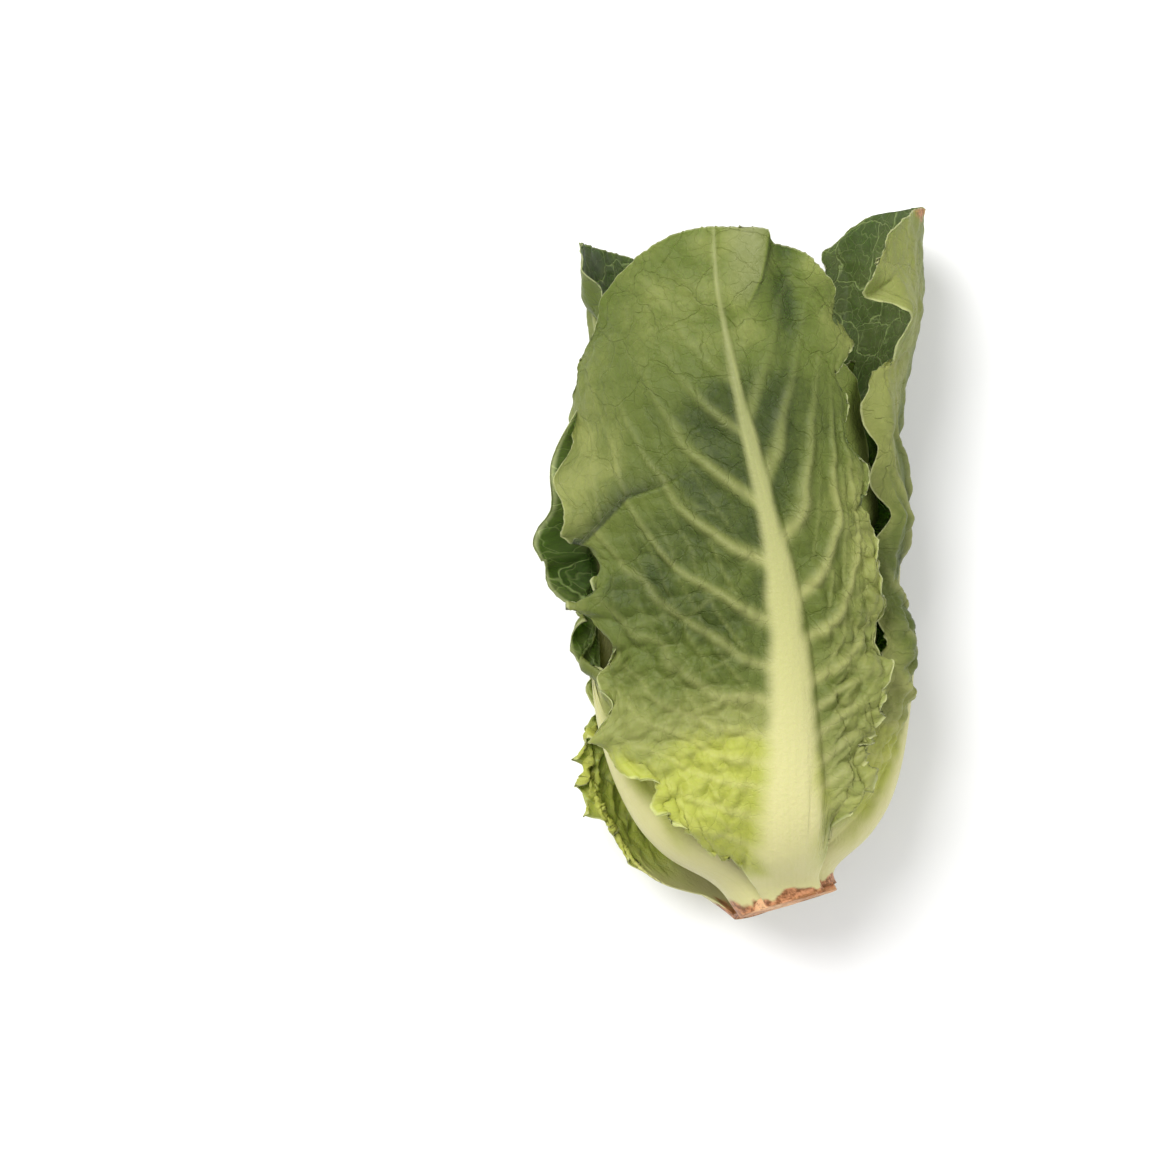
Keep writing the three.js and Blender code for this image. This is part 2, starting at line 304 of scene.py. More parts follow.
# %% Ruffles and teeth
def margin_wave(leaf, q, length, seed):
    """An uneven wave along the margin and its partner a quarter wave on: sin and cos of 2πq / length +
    wander, with q the distance along the margin."""
    turn = 2 * np.pi * q / length + 2.2 * bumps(q, q * 0, 2.3 * length, seed + leaf.index)
    size = 0.65 + 0.5 * bumps(q, q * 0, 1.7 * length, seed + leaf.index + 5)
    return size * np.sin(turn), size * np.cos(turn)


def teeth(leaf, q, length, seed, pointed):
    """How deep the notches of the margin are, from 0 to 1. Pointed teeth are |sin(πq / length + wander)|, and
    rounded ones 1 less that."""
    turn = np.pi * q / length + 1.6 * bumps(q, q * 0, 2.1 * length, seed + leaf.index)
    wave = np.abs(np.sin(turn))
    return lerp(1 - wave, wave, pointed) * (0.6 + 0.5 * bumps(q, q * 0, 3.1 * length, seed + 9))


def ruffled_margin(leaf, place):
    """How far the margin stands out, slides along itself and is notched. Waves of 17 and 7.5 mm fade inwards
    as exp(-distance / 6.5) and exp(-distance / 3), and teeth are 3.4 and 1.9 mm apart."""
    s, v, q = place.s, place.v, place.round_margin
    low = 1 - smooth(s, 45, 90)
    free = place.above_foot * lerp(0.12 + 0.45 * smooth(v, 0.8, 0.95), 1, place.shown)
    near, fringe = np.exp(-place.to_margin / 6.5) * free, np.exp(-place.to_margin / 3) * free
    long_wave, long_partner = margin_wave(leaf, q, 17, 1)
    short_wave, short_partner = margin_wave(leaf, q, 7.5, 2)
    low_frill = 1 + pick(leaf.low_frill, place.side) * low
    frill = leaf.fine_frill * lerp(low_frill, leaf.calm_top, smooth(s, 90, 122))
    stand = frill * (1.5 * near * (0.7 + long_wave) + 1.3 * fringe * (0.6 + short_wave))
    slide = frill * (1.4 * near * long_partner + 0.9 * fringe * short_partner)
    notch = teeth(leaf, q, 3.4, 3, low) * lerp(3.4, 0.35, smooth(s, 35, 110))
    notch = notch + 0.35 * teeth(leaf, q, 1.9, 4, low)
    notch = notch * leaf.tooth * lerp(1, pick(leaf.low_teeth, place.side), low)
    notch = notch * smooth(place.along, 3, 12) * np.exp(-place.to_margin / lerp(2.2, 4, low))
    return stand, slide, notch


print("teeth along 4 mm", teeth(LEAVES[1], np.linspace(0, 4, 5), 3.4, 3, 1).round(2))

# %% [markdown]
# ## The sheet of a leaf
#
# A blade is a grid: `u` runs across it from margin to margin, -1 to 1, and `v` along it from foot to tip.
# Every quantity is one whole array over that grid, so a leaf of fifty thousand points takes a fraction of a
# second.

# %% The sheet
def layer_stand(leaf, place):
    """How far the sheet leaves its layer: a slow wave of 33 mm at the margins, a flared side, and a leaf
    that opens towards its tip where nothing covers it. The foot is drawn in by 1.5 mm, and the front leaf's
    lower left side is swollen by 3.5 mm."""
    s, v, side, shown = place.s, place.v, place.side, place.shown
    near_margin = smooth(place.off, 0.45, 1) * smooth(place.along, 8, 30)
    wave = np.sin(2 * np.pi * s / 33 + leaf.index * 2.4 + side * 1.7)
    ruffle = 4.5 * leaf.frill * shown * (0.5 + 0.5 * wave) * (1 - leaf.calm_lobe * smooth(s, 95, 122))
    flare = pick(leaf.flare, side) * place.off**3 * smooth(v, 0.3, 0.6) * (1 - 0.85 * smooth(v, 0.62, 0.88))
    opened = shown * lerp(leaf.open[0] * smooth(v, 0.1, 0.35), leaf.open[1], smooth(v, 0.5, 1))
    stand = near_margin * (0.5 * wave + ruffle) + flare + opened - 1.5 * (1 - smooth(place.along, 0, 9))
    if leaf.index == 1:
        low_left = side * smooth(place.off, 0.55, 0.85) * smooth(s, 14, 26) * (1 - smooth(s, 55, 85))
        stand = stand + 3.5 * low_left
    return stand


def edge_rise(leaf, place):
    """How far the ends of a blade move along it. The front leaf's tip has a step down at the right of its
    rib and its lower left edge has teeth 5.2 mm apart. The right leaf's tip edge is raised in half a sine
    wave."""
    if leaf.index == 1:
        to_right = -place.across
        lower_tip = smooth(to_right, 13.5, 17) * (1 - smooth(to_right, 22, 44))
        rise = -2.5 * smooth(place.v, 0.8, 1) - 4.5 * lower_tip * smooth(place.v, 0.88, 1)
        lower_edge = place.side * smooth(place.height, 11, 14) * (1 - smooth(place.height, 20, 26))
        lower_edge = lower_edge * np.exp(-place.to_margin / 3)
        return rise + 3.2 * (np.abs(np.sin(np.pi * place.across / 5.2)) - 0.5) * lower_edge
    if leaf.index == 2:
        arch = np.sin(np.pi * np.minimum(place.off / 0.85, 1))
        return 6 * (1 - place.side) * arch * smooth(place.v, 0.85, 1)
    return np.zeros_like(place.s)


def sheet(leaf, u, v):
    """The middle of a blade before its puckers, and what is known of each place on it."""
    side, off = np.where(u < 0, 0, 1), np.abs(u)
    half, height = half_width(leaf, side, v), leaf.foot + leaf.length * v
    s = height - shoulder_drop(leaf, side, off) * np.maximum(v, 0) ** 3
    level = layer_radius(leaf, height)
    scallop = 1 - 0.06 * off**6 * (1 + np.sin(2 * np.pi * s / 19 + leaf.index))
    angle = rib_angle(leaf, v) + u * scallop * half / level
    place = SimpleNamespace(
        side=side, off=off, u=u, v=v, s=s, height=height, shown=shown_share(leaf, angle, s),
        across=u * half, along=s - leaf.foot, above_foot=smooth(s - leaf.foot, 6, 28),
        round_margin=75 * np.arctan2(2 * v - 1, u),
        to_margin=np.minimum((1 - off) * half, np.maximum(1 - v, 0) * leaf.length * 1.3),
        from_rib=u * half + leaf.rib_back * smooth(s, 15, 60),
    )
    ruffle, slide, notch = ruffled_margin(leaf, place)
    at_tip = smooth(v, 0.8, 1) * (1 - off**4)
    inward = notch * np.where(u < 0, 1, -1) * (1 - at_tip)
    angle = angle + (inward + slide * at_tip) / level
    s_moved = s + slide * (1 - at_tip) - notch * at_tip + edge_rise(leaf, place)
    radius = layer_radius(leaf, s) + ruffle + layer_stand(leaf, place)
    return to_part(angle, radius, s_moved), place


def normals(point):
    """Unit vectors out of the sheet: the cross product of the ways along it and across it."""
    way = np.cross(np.gradient(point, axis=0), np.gradient(point, axis=1))
    return way / np.maximum(np.linalg.norm(way, axis=-1, keepdims=True), 1e-9)


coarse = sheet(LEAVES[1], *np.meshgrid(np.linspace(-1, 1, 9), np.linspace(0, 1, 9)))[0]
print("the front leaf's plain sheet spans", np.ptp(coarse, axis=(0, 1)).round(1), "mm")

# %% [markdown]
# ## Rib and side veins
#
# The midrib of romaine is as thick as a finger at the foot and a thread at the tip. Side veins leave it one
# above another, nearly level at the foot and ever steeper towards the tip, close together low down and far
# apart above. Drawing them as curves and projecting those would need a search for each point. Asking each
# point which vein it would come from needs only a formula.

# %% Rib and veins
# Side veins are counted along the rib: they stand 8.5 mm apart low down and 19 mm above.
VEIN_PLACES = np.linspace(-120, 230, 700)
VEIN_GAPS = lerp(8.5, 19.0, smooth(VEIN_PLACES, 60, 125))
VEIN_COUNTS = np.cumsum(1 / VEIN_GAPS) * (VEIN_PLACES[1] - VEIN_PLACES[0])


def vein_lines(leaf, place, rise, start_shift, seed):
    """Distance in mm to the nearest vein of one family. A vein met at height b and distance a from the rib
    left it at b - a·rise·(1 + a / 130), and wanders by bumps of 26 and 9 mm."""
    a, b = np.abs(place.across), place.along
    start = b - a * rise * (1 + a / 130) + start_shift + 14.8 * leaf.index + 5 * place.side
    start = start + 4.2 * bumps(place.across, b, 26, seed + 2 * leaf.index)
    start = start + 1.5 * bumps(place.across, b, 9, seed + 1 + leaf.index)
    count, gap = np.interp(start, VEIN_PLACES, VEIN_COUNTS), np.interp(start, VEIN_PLACES, VEIN_GAPS)
    return np.abs(count - np.floor(count) - 0.5) * gap / np.sqrt(1 + rise**2)


def vein_ridges(leaf, place):
    """Share of a side vein at each place: exp(-(distance / width)²), wide at the rib and thin at the margin,
    with two families of finer veins that fork off it and run back."""
    a = np.abs(place.across)
    pairs = (leaf.low_rise, leaf.vein_rise, leaf.rise_from)
    low_rise, top_rise, turn = (pick(pair, place.side) for pair in pairs)
    rise = lerp(low_rise, top_rise, smooth(place.along / leaf.length, turn, 0.8))
    width = 0.6 + 1.7 * np.exp(-a / 20)
    main = np.exp(-((vein_lines(leaf, place, rise, 0, 21) / width) ** 2))
    main = main * np.exp(-a / pick(leaf.vein_reach, place.side)) * smooth(place.to_margin, 0, 13)
    main = main * (1 - 0.7 * smooth(place.s, 118, 168)) * lerp(0.55, 1, smooth(place.s, 68, 104))
    forks = 0.24 * np.exp(-((vein_lines(leaf, place, rise + 0.7, 5, 31) / 0.6) ** 2))
    forks = forks * smooth(a, 6, 14) * np.exp(-a / 40)
    back = 0.2 * np.exp(-((vein_lines(leaf, place, rise - 0.6, 2, 41) / 0.55) ** 2))
    back = back * smooth(a, 8, 18) * np.exp(-a / 50)
    return np.maximum(main, np.maximum(forks, back) * (1 - 0.8 * smooth(place.s, 100, 150)))


def rib_width(leaf, v):
    """Half the rib's width: 13.5 (1 - v)^1.45 + 0.5 on the outermost leaf, and less further in."""
    return 13.5 * lerp(1, 0.5, leaf.depth) * np.clip(1 - v, 0, 1) ** 1.45 + 0.5


def rib_stand(leaf, place):
    """Height of the rib over the blade: h (1 - (d / w)²)^0.8, at a distance d from the rib's middle. The
    height h and the half width w shrink to the tip."""
    v = np.clip(place.v, 0, 1)
    height = 4.4 * lerp(1, 0.45, leaf.depth) * (1 - v) ** 1.3 + 0.25
    height = height * lerp(0.75, 1, smooth(place.along, -4, 10))
    return height * np.maximum(1 - (place.from_rib / rib_width(leaf, v)) ** 2, 0) ** 0.8


print("side veins on 180 mm of rib", round(np.ptp(np.interp([0, 180], VEIN_PLACES, VEIN_COUNTS))))

# %% [markdown]
# ## Folds and puckers
#
# Romaine puckers most where it is youngest, near the foot, and smooths out above. The front leaf also has
# two folds of its own, one under its left lobe and one at its tip. A sculpted fold would be lost when the
# grid changes, so each is a step along a line of a few points, x to the right and y towards the tips.

# %% Folds and puckers
LOBE_LINE = [(-56, 0), (-42, 6), (-36, 12), (-30, 18.5), (-20, 21.6), (-14, 25)]
TIP_LINE = [(1.8, 66), (3, 71), (7.3, 80), (9, 88), (11, 100)]


def step_along(x, y, points, reach, width=1.3):
    """1 just left of a line through points, dying out as exp(-distance / reach), and 0 to the right."""
    best, side = np.full(x.shape, 1e9), np.zeros(x.shape)
    for (ax, ay), (bx, by) in zip(points[:-1], points[1:]):
        dx, dy = bx - ax, by - ay
        t = np.clip(((x - ax) * dx + (y - ay) * dy) / (dx * dx + dy * dy), 0, 1)
        away = np.hypot(x - ax - t * dx, y - ay - t * dy)
        left = np.sign(dx * (y - ay) - dy * (x - ax))
        side = np.where(away < best, left, side)
        best = np.minimum(best, away)
    signed = best * side
    fade = np.exp(-np.maximum(signed, 0) / reach) * np.exp(-(np.maximum(best - 4 * reach, 0) ** 2))
    return smooth(signed, -width / 2, width / 2) * fade


def front_folds(point, place):
    """The front leaf's own folds: the blade under the left lobe stands 5.5 mm over the lobe, the tip's left
    side 4 mm over its right, and a valley and a bulge lie beside that."""
    x, y = point[..., 0], point[..., 1]
    low = 5.5 * step_along(x, y, LOBE_LINE[::-1], 15)
    low = low * (1 - smooth(x, -28, -10)) * lerp(0.45, 1, smooth(place.to_margin, 0, 9))
    tip = 4.0 * step_along(x, y, TIP_LINE, 9) * smooth(y, 68, 78)
    valley = -2.6 * np.exp(-(((x - 14) / 5) ** 2)) * smooth(y, 48, 92)
    bulge = 1.8 * np.exp(-(((x - 24) / 8) ** 2 + ((y - 84) / 10) ** 2))
    return low + tip + valley + bulge


def puckered(leaf, place, point):
    """How far the blade moves out of its plain sheet: rounded cells of 8.5 and 4.3 mm near the foot, swells
    of 34 and 14 mm above, the side veins as ridges, and the front leaf's folds."""
    a, b, s = place.across, place.along, place.s
    crinkle = lerp(1, 0.25, smooth(s, 68, 118))
    if leaf.index == 1:
        crinkle = np.maximum(crinkle, 0.9 * smooth(-place.u, 0.5, 0.8) * (1 - smooth(s, 120, 160)))
    rib_half = rib_width(leaf, place.v)
    on_blade = smooth(np.abs(place.from_rib), rib_half * 0.9, rib_half * 1.3 + 3)
    puckers = np.minimum(cells(a * 1.15, b, 8.5, leaf.index), 0.6) / 0.6
    fine = np.minimum(cells(a, b * 1.1, 4.3, leaf.index + 20), 0.5) / 0.5
    swell = 0.7 * (bumps(a, b, 34, leaf.index + 50) * 1.8 + rough(a, b, 14, leaf.index + 60) * 0.6)
    calm = lerp(0.35, 0.04, smooth(s, 90, 130))
    lift = crinkle * (1.35 * puckers + 0.55 * fine) + swell + 0.5 + calm * puckers
    lift = on_blade * (lift + place.vein * (2.4 - 0.9 * smooth(s, 120, 170)))
    lift = lift * lerp(0.12, 1, place.shown) * place.above_foot
    return lift + front_folds(point, place) if leaf.index == 1 else lift


fold = step_along(np.full(3, -36.0), np.array([20.0, 12.0, 4.0]), LOBE_LINE[::-1], 15)
print("the lobe's fold above its line, on it and below it", fold.round(2))

# %% [markdown]
# ## What colours a place
#
# Tone runs from deep green at 0 to bright yellow green at 1. A heart is yellowest low down, where light
# hardly reached it, and greenest at the open margins. Between strong veins near the rib the blade is darker,
# partly its own green and partly painted shade in the furrows, and the front leaf's tone also holds painted
# shade beside its folds.
# These values go to the mesh as attributes, so that the colour follows each vein and fold exactly, which an
# image would not.

# %% Tone, shade and browned places
def round_spot(x, y, centre_x, centre_y, reach_x, reach_y):
    """A soft spot: exp(-(dx² + dy²)), with dx and dy the distances as shares of the two reaches."""
    return np.exp(-(((x - centre_x) / reach_x) ** 2 + ((y - centre_y) / reach_y) ** 2))


def front_tone_and_shade(x, y):
    """Patches of the front leaf that are lighter or darker than the leaf around them, with painted shade in
    the valley beside the tip's fold and in a spot under the left lobe.
    """
    # painted shade in the valley beside the tip's fold
    valley = np.exp(-(((x - 14) / 5) ** 2)) * smooth(y, 40, 88)
    low_right = smooth(x, 17, 30) * (1 - smooth(y, -50, -25))
    right = smooth(x, 16, 38) * (1 - smooth(y, 25, 55)) * smooth(y, -85, -60)
    # the spot round (-28, -4) is painted shade under the left lobe
    return (0.12 * right - 0.36 * low_right - 0.42 * valley - 0.36 * round_spot(x, y, -28, -4, 20, 20)
            - 0.1 * round_spot(x, y, 6, 62, 18, 16) + 0.1 * round_spot(x, y, -40, 32, 14, 22))


def leaf_tone(leaf, place, point):
    """Tone at the foot, middle and tip of a leaf, uneven in patches, less the darker furrows between veins:
    partly the blade's own green and partly painted shade.
    """
    s, a = place.s, np.abs(place.across)
    tone = lerp(leaf.tones[0], leaf.tones[1], smooth(s, 22, 72))
    tone = lerp(tone, leaf.tones[2], smooth(s, 95, 150))
    tone = tone + 0.10 * rough(place.across, place.along, 30, leaf.index + 80)
    tone = tone + 0.05 * rough(place.across, place.along, 7, leaf.index + 90)
    tone = tone + 0.25 * np.exp(-a / 18) * (1 - smooth(s, 55, 105))
    # darker furrows between veins near the rib: partly the blade's own green, partly painted shade
    furrow = np.exp(-a / 30) * smooth(s, 40, 75) * (1 - smooth(s, 135, 165)) * (1 - place.vein) * place.shown
    tone = tone - (lerp(0.5, 0.6, place.side) if leaf.index == 1 else 0.34) * furrow
    if leaf.index == 1:
        tone = tone + front_tone_and_shade(point[..., 0], point[..., 1])
    if leaf.index == 2:
        tone = tone + smooth(place.u, 0.1, 0.6) * lerp(0.1, 0.24, smooth(s, 95, 125)) * smooth(s, 28, 45)
    tone = tone + 0.10 * np.exp(-place.to_margin / 2.5) * (1 - smooth(s, 60, 120))
    return np.clip(tone, 0.08, 1)


def painted_fold_shadow(leaf, point):
    """Painted shadow along the low side of the front leaf's two folds, as a share of full shade."""
    if leaf.index != 1:
        return np.zeros(point.shape[:2])
    x, y = point[..., 0], point[..., 1]
    at_lobe = step_along(x, y, LOBE_LINE, 3.2, 0.8) * (1 - smooth(x, -30, -12))
    at_tip = step_along(x, y, TIP_LINE[::-1], 2.0, 0.8) * smooth(y, 69, 77)
    return 0.85 * at_lobe + 0.55 * at_tip


def leaf_brown(leaf, place, point):
    """Browned places: where the foot was cut, and a withered corner at the tip of the right leaf."""
    brown = 1 - smooth(place.s + 2.0 * rough(place.across, place.along, 5, 95), 3.6, 4.8)
    if leaf.index == 2:
        x, y, z = point[..., 0], point[..., 1], point[..., 2]
        away = np.hypot(np.hypot(x - 53, y - 102.5), (z - 46) / 1.5) + 2.0 * rough(x, y, 4, 96)
        brown = np.maximum(brown, 1 - smooth(away, 2.5, 5))
    return brown if leaf.index < OUTER_COUNT else 0 * brown


def rib_share(leaf, place):
    """1 on the pale rib and on the pale foot, falling to 0 on the blade along an uneven border."""
    a, b = place.across, place.along
    share = np.abs(place.from_rib) / rib_width(leaf, np.clip(place.v, 0, 1)) + 0.12 * rough(a, b, 9, 71)
    foot = 1 - smooth(place.s + 2 * rough(a, b, 8, 72), *leaf.pale_foot)
    return np.maximum(1 - smooth(share, 0.35, 0.98), foot)


# the painted shade under the left lobe
print("tone added under the lobe", front_tone_and_shade(np.array([-28.0]), np.array([-4.0])).round(2))

# %% [markdown]
# ## One leaf as a closed mesh
#
# A leaf could be a single sheet with a Solidify modifier, but its thickness varies: the rib is millimetres
# thick and the margin is thin. So the outer and the inner face are two grids, and a rim joins their
# borders.

# %% Faces and meshes
def grid_faces(rows, columns, start, turned):
    """Corners of the squares between the points of a grid, in order round each square."""
    a = (np.arange(rows - 1)[:, None] * columns + np.arange(columns - 1)[None, :]).ravel() + start
    square = np.stack([a, a + 1, a + columns + 1, a + columns], axis=1)
    return square[:, ::-1] if turned else square


def rim_faces(rows, columns, count):
    """Squares that join the border of the outer face to that of the inner one, all the way round."""
    foot = np.arange(columns)
    right = np.arange(1, rows) * columns + columns - 1
    tip = (rows - 1) * columns + np.arange(columns - 2, -1, -1)
    left = np.arange(rows - 2, 0, -1) * columns
    loop = np.concatenate([foot, right, tip, left])
    after = np.roll(loop, -1)
    return np.stack([loop, loop + count, after + count, after], axis=1)


def make_mesh(name, points, faces, attributes, uv, material):
    """A smooth mesh in metres from points in mm, with a named value at each point and a UV map in dm."""
    mesh = bpy.data.meshes.new(name)
    mesh.vertices.add(len(points))
    mesh.vertices.foreach_set("co", (points / 1000).astype(np.float32).ravel())
    mesh.loops.add(faces.size)
    mesh.loops.foreach_set("vertex_index", faces.astype(np.int32).ravel())
    mesh.polygons.add(len(faces))
    mesh.polygons.foreach_set("loop_start", np.arange(0, faces.size, faces.shape[1], dtype=np.int32))
    mesh.update(calc_edges=True)
    mesh.polygons.foreach_set("use_smooth", np.ones(len(faces), bool))
    for key, values in attributes.items():
        attribute = mesh.attributes.new(key, "FLOAT", "POINT")
        attribute.data.foreach_set("value", values.astype(np.float32).ravel())
    layer = mesh.uv_layers.new(name="place")
    layer.data.foreach_set("uv", uv[faces.ravel()].astype(np.float32).ravel())
    mesh.materials.append(material)
    mesh.validate()
    piece = bpy.data.objects.new(name, mesh)
    bpy.context.scene.collection.objects.link(piece)
    return piece


print("squares in one face of the first leaf", len(grid_faces(*LEAVES[0].grid, 0, True)))

# %% [markdown]
# Two steps keep the whole bundle in shape. The right side of the head has shallow hollows, pressed into all
# leaves at once so that none comes through another, and whatever would stand past the part's box is eased
# back.

# %% One leaf
HOLLOWS = [(-20, 0), (-6, 4.5), (3, 4), (14, 0.5), (25, 3), (37, 5.5), (50, 4), (63, 2), (74, 0)]

# The least and the most in x, y and z, and over how much each is eased.
ROOM = [(-57, 57, 1.6), (-104, 104, 1.5), (-9, 75.2, 1.8)]


def pressed_side(point):
    """The head's right side with its hollows, pairs of y and depth: x goes in by that depth at 57 mm from
    the middle, and by less further in."""
    moved = point.copy()
    moved[..., 0] -= np.interp(point[..., 1], *zip(*HOLLOWS)) * smooth(point[..., 0], 22, 57)
    return moved


def within_room(points):
    """Eases points back that stand past the part's box: beyond a limit, x becomes limit + k tanh((x -
    limit) / k)."""
    kept = points.copy()
    for axis, (low, high, reach) in enumerate(ROOM):
        value = kept[..., axis]
        value = np.where(value > high, high + reach * np.tanh((value - high) / reach), value)
        kept[..., axis] = np.where(value < low, low - reach * np.tanh((low - value) / reach), value)
    return kept


def leaf_faces(leaf):
    """The outer and inner grids of points of one leaf, and what is known of each place. Leaves that lie on
    the table are pressed flat on it, each layer a little above the one under it."""
    columns, rows = leaf.grid
    u = np.linspace(-1, 1, columns)[None, :] * np.ones((rows, 1))
    v = np.linspace((leaf.lowest - leaf.foot) / leaf.length, 1, rows)[:, None] * np.ones((1, columns))
    point, place = sheet(leaf, u, v)
    place.vein = vein_ridges(leaf, place)
    lift = puckered(leaf, place, point)
    floor = BLADE / 2 + LAYER_STEP * leaf.index
    point[..., 2] = np.maximum(point[..., 2], floor)
    point = pressed_side(point + normals(point) * lift[..., None])
    point[..., 2] = np.maximum(point[..., 2], floor)
    way = normals(point)
    half_thick = BLADE * lerp(0.6, 1, smooth(place.to_margin, 0, 4)) / 2
    outer = within_room(point + way * (half_thick + rib_stand(leaf, place))[..., None])
    inner = within_room(point - way * half_thick[..., None])
    outer[..., 2] = np.maximum(outer[..., 2], 0)
    inner[..., 2] = np.maximum(inner[..., 2], 0.3)
    return outer, inner, point, place


def build_leaf(leaf, material):
    """The leaf's mesh, with the values that colour it, in place of its plain solid."""
    outer, inner, point, place = leaf_faces(leaf)
    rows, columns = place.u.shape
    count = rows * columns
    faces = np.concatenate([
        grid_faces(rows, columns, 0, True), grid_faces(rows, columns, count, False),
        rim_faces(rows, columns, count),
    ])
    shared = {
        "rib": rib_share(leaf, place), "vein": place.vein, "tone": leaf_tone(leaf, place, point),
        "height": place.s / 200, "edge": place.to_margin / 10, "brown": leaf_brown(leaf, place, point),
        "shade": painted_fold_shadow(leaf, point),
    }
    both = {key: np.concatenate([np.ravel(x), np.ravel(x)]) for key, x in shared.items()}
    both["inside"] = np.concatenate([np.zeros(count), np.ones(count)])
    uv = np.stack([place.across, place.along + 250 * leaf.index], axis=-1).reshape(-1, 2) / 100
    points = np.concatenate([outer.reshape(-1, 3), inner.reshape(-1, 3)])
    piece = make_mesh("fine_" + leaf.name, points, faces, both, np.concatenate([uv, uv]), material)
    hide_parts(leaf.name)
    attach(piece, "root")
    return piece


outer, inner = leaf_faces(LEAVES[-1])[:2]
print("the innermost leaf is", np.linalg.norm(outer - inner, axis=-1).max().round(1), "mm thick at its rib")

# %% [markdown]
# ## Materials
#
# A wire carries a number or a colour from one node to the next, and takes part in sums like a number, so
# that a mask is written as `1 - rib` and not as a node with two links.

# %% Wires and nodes
class Wire:
    """One output of a node in a material."""

    def __init__(self, socket):
        self.socket = socket
        self.tree = socket.id_data

    def node(self, kind, settings, sockets, output=0):
        return add_node(self.tree, kind, settings, sockets, output)

    def math(self, operation, first, second):
        return self.node("ShaderNodeMath", {"operation": operation}, {0: first, 1: second})

    def __add__(self, other):
        return self.math("ADD", self, other)

    def __radd__(self, other):
        return self.math("ADD", other, self)

    def __sub__(self, other):
        return self.math("SUBTRACT", self, other)

    def __rsub__(self, other):
        return self.math("SUBTRACT", other, self)

    def __mul__(self, other):
        return self.math("MULTIPLY", self, other)

    def __rmul__(self, other):
        return self.math("MULTIPLY", other, self)

    def smooth(self, low, high, start=0.0, end=1.0):
        """From start to end as the value goes from low to high, easing in and out."""
        return self.node("ShaderNodeMapRange", {"interpolation_type": "SMOOTHSTEP"},
                         {"Value": self, "From Min": low, "From Max": high, "To Min": start, "To Max": end})


def add_node(tree, kind, settings, sockets, output=0):
    """A node with its settings, and its inputs joined to wires or set to constants."""
    node = tree.nodes.new(kind)
    for key, value in settings.items():
        setattr(node, key, value)
    for key, value in sockets.items():
        if isinstance(value, Wire):
            tree.links.new(value.socket, node.inputs[key])
        else:
            node.inputs[key].default_value = value
    return Wire(node.outputs[output]) if len(node.outputs) else node


def srgb(red, green, blue):
    """A colour as read from a screen, 0 to 255, as the light it stands for: ((c + 0.055) / 1.055)^2.4."""
    parts = (red, green, blue)
    return tuple(((c / 255 + 0.055) / 1.055) ** 2.4 if c > 10 else c / 3295 for c in parts) + (1.0,)


def blend(tree, factor, first, second):
    """The first colour where the factor is 0 and the second where it is 1."""
    return add_node(tree, "ShaderNodeMix", {"data_type": "RGBA"}, {0: factor, 6: first, 7: second}, 2)


def noise(tree, vector, scale, detail, output=0, **more):
    """Soft noise on a plane at the given scale."""
    return add_node(tree, "ShaderNodeTexNoise", {"noise_dimensions": "2D"},
                    {"Vector": vector, "Scale": scale, "Detail": detail, **more}, output)


def value_of(tree, name):
    """The value that the mesh holds at each point under this name."""
    return add_node(tree, "ShaderNodeAttribute", {"attribute_name": name}, {}, "Fac")


def new_tree(name):
    material = bpy.data.materials.new(name)
    material.use_nodes = True
    material.node_tree.nodes.clear()
    return material, material.node_tree


def finish_material(tree, colour, roughness, height, distance, settings):
    """A Principled surface with fine bumps, given the colour, the roughness and the height of the bumps."""
    bump = add_node(tree, "ShaderNodeBump", {}, {"Height": height, "Distance": distance, "Strength": 1.0})
    surface = add_node(tree, "ShaderNodeBsdfPrincipled", {},
                       {"Base Color": colour, "Roughness": roughness, "Normal": bump, **settings})
    add_node(tree, "ShaderNodeOutputMaterial", {}, {"Surface": surface})


print("a middle green as light", [round(c, 3) for c in srgb(124, 129, 68)])

# %% [markdown]
# A leaf's skin is built up in layers: green by tone, a net of fine veins that is dark on the outer face
# and pale on the inner, pale side veins and rib, a thin pale line at the margin that is a painted highlight,
# then brown and a painted shadow along the front leaf's folds. Leaves glow a little, so a small share of
# light passes under the skin. A painted image would have to be made for each leaf, while these nodes fit them
# all.

# %% Leaf and stem
DEEP_GREEN, NET_GREEN = srgb(38, 56, 26), srgb(146, 160, 100)
# The pale margin colour is a painted highlight along the leaves' edges.
RIB_STREAK, PAINTED_EDGE_HIGHLIGHT = srgb(176, 178, 110), srgb(206, 210, 156)
# FOLD_SHADE is the colour of the painted shadow along the front leaf's folds.
BROWN_DARK, BROWN_LIGHT, FOLD_SHADE = srgb(118, 76, 44), srgb(190, 132, 92), srgb(20, 28, 12)


